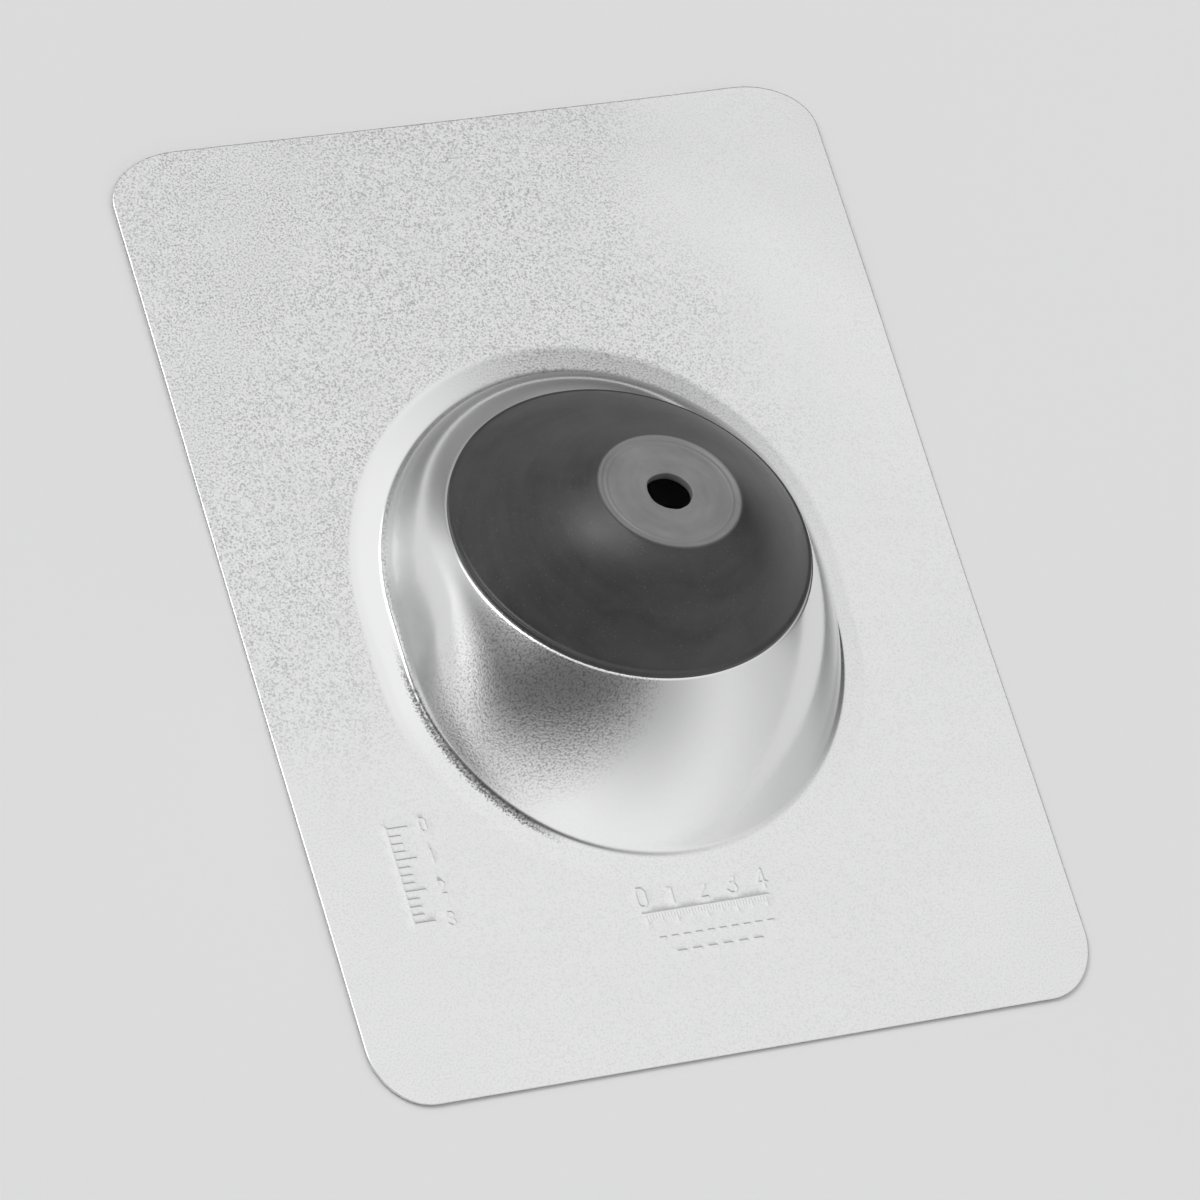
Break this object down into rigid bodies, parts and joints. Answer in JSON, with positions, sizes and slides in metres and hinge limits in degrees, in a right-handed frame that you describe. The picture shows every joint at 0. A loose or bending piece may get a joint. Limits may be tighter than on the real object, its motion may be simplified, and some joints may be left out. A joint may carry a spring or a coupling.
{
  "type": "pipe flashing boot",
  "caption": "Roof pipe flashing boot: an aluminium sheet with a drawn, sloping hump and a domed rubber collar with a pilot hole that stretches over a vent pipe.",
  "frame": {"origin": "middle of the flat sheet's underside, which is also the bottom centre of the whole part", "axes": "+Z out of the roof, +Y up the roof slope along the sheet's long side, +X across the slope; the hump's mouth leans 15.26 degrees towards +Y"},
  "size_m": [0.216, 0.284, 0.0613],
  "materials": {
    "flashing_base": "satin mill finish with a fine rolled grain",
    "rubber_collar": "satin moulded elastomer"
  },
  "bodies": {
    "root": {"flashing_base": "flashing_base", "rubber_collar": "rubber_collar"}
  },
  "joints": []
}
